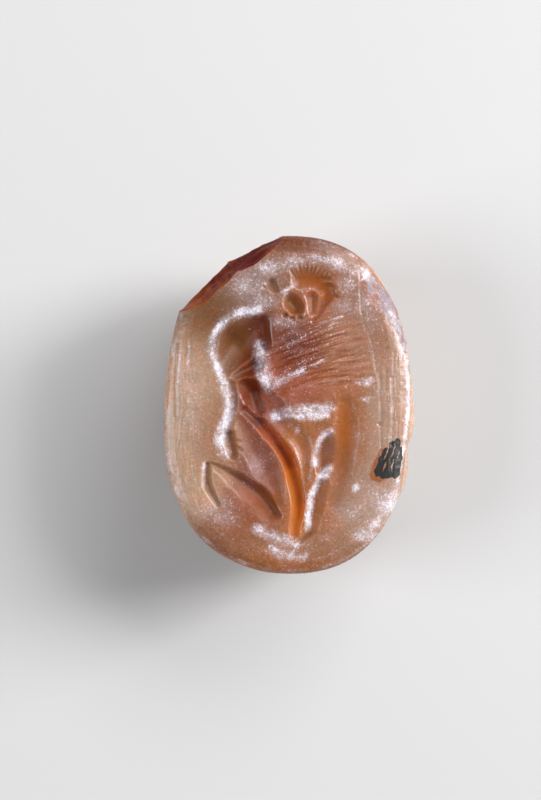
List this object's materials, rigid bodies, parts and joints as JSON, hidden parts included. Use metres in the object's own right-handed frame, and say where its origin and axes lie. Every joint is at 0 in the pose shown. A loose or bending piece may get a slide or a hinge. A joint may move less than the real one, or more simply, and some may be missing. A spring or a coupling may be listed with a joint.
{
  "type": "scarab seal",
  "caption": "Oval beetle-shaped stone seal, its flat side engraved with a winged figure, pierced lengthwise, chipped on the rim.",
  "frame": {"origin": "centre of the bounding box in X and Y, on the worn flat of the beetle's back that it rests on", "axes": "+Z out of the engraved face, +Y towards the top of the engraved figure and the beetle's head, +X to the right of the engraving"},
  "size_m": [0.0128, 0.0172, 0.0086],
  "materials": {
    "carnelian": "polished, worn, with pale weathering"
  },
  "bodies": {
    "root": {"scarab_stone": "carnelian"}
  },
  "joints": []
}
